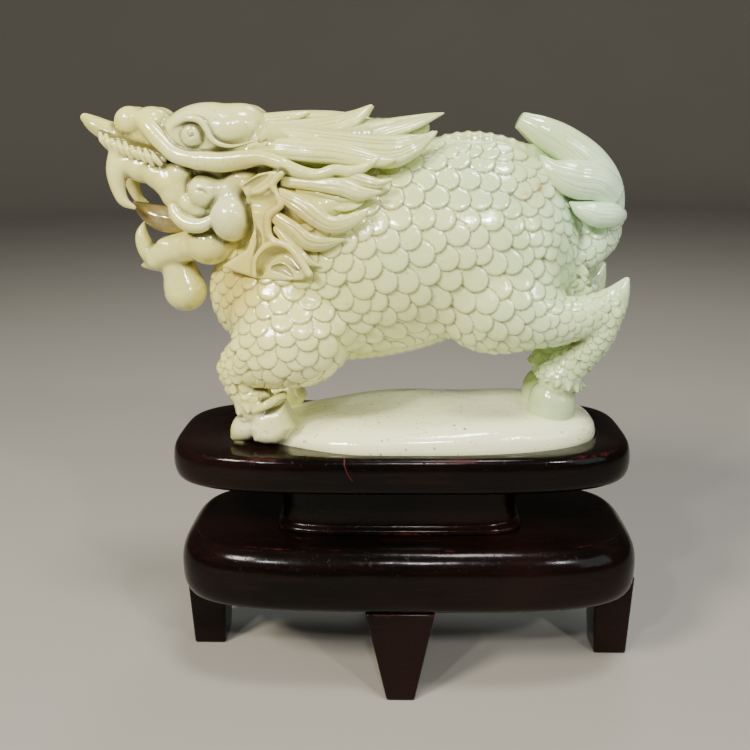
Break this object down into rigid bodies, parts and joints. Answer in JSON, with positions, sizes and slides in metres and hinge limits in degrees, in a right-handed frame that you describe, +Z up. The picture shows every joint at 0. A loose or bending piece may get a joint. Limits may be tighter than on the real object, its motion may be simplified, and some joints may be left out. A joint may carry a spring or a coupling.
{
  "type": "jade figurine on a wood stand",
  "caption": "Carved jade guardian beast striding on a low mound, seated in a two-tier dark lacquered wood stand with tapered legs.",
  "frame": {"origin": "on the surface it stands on, under the middle of the whole object's box", "axes": "+Z up, -X the way the beast looks, -Y its left flank; +X towards its tail"},
  "size_m": [0.234, 0.0836, 0.2474],
  "materials": {
    "jade": "polished, waxed, slightly translucent pale celadon with fine grey and brown flecks",
    "lacquered_wood": "near-black red-brown gloss lacquer, worn red along some edges",
    "bare_wood": "unfinished turned dowel",
    "screw_steel": "plain zinc-plated steel"
  },
  "bodies": {
    "stand": {"leg_back": "lacquered_wood", "leg_back_dowel_1": "bare_wood", "leg_back_dowel_2": "bare_wood", "leg_front": "lacquered_wood", "leg_front_dowel_1": "bare_wood", "leg_front_dowel_2": "bare_wood", "leg_left": "lacquered_wood", "leg_left_dowel_1": "bare_wood", "leg_left_dowel_2": "bare_wood", "leg_right": "lacquered_wood", "leg_right_dowel_1": "bare_wood", "leg_right_dowel_2": "bare_wood", "lower_slab": "lacquered_wood", "slab_screw_left": "screw_steel", "slab_screw_right": "screw_steel", "tray": "lacquered_wood", "tray_screw_left": "screw_steel", "tray_screw_right": "screw_steel", "waist_block": "lacquered_wood"},
    "carving": {"jade_carving": "jade"}
  },
  "joints": [
    {"name": "carving_lift", "type": "slide", "parent": "stand", "child": "carving", "axis": [0, 0, 1], "range_m": [0, 0.04]}
  ]
}
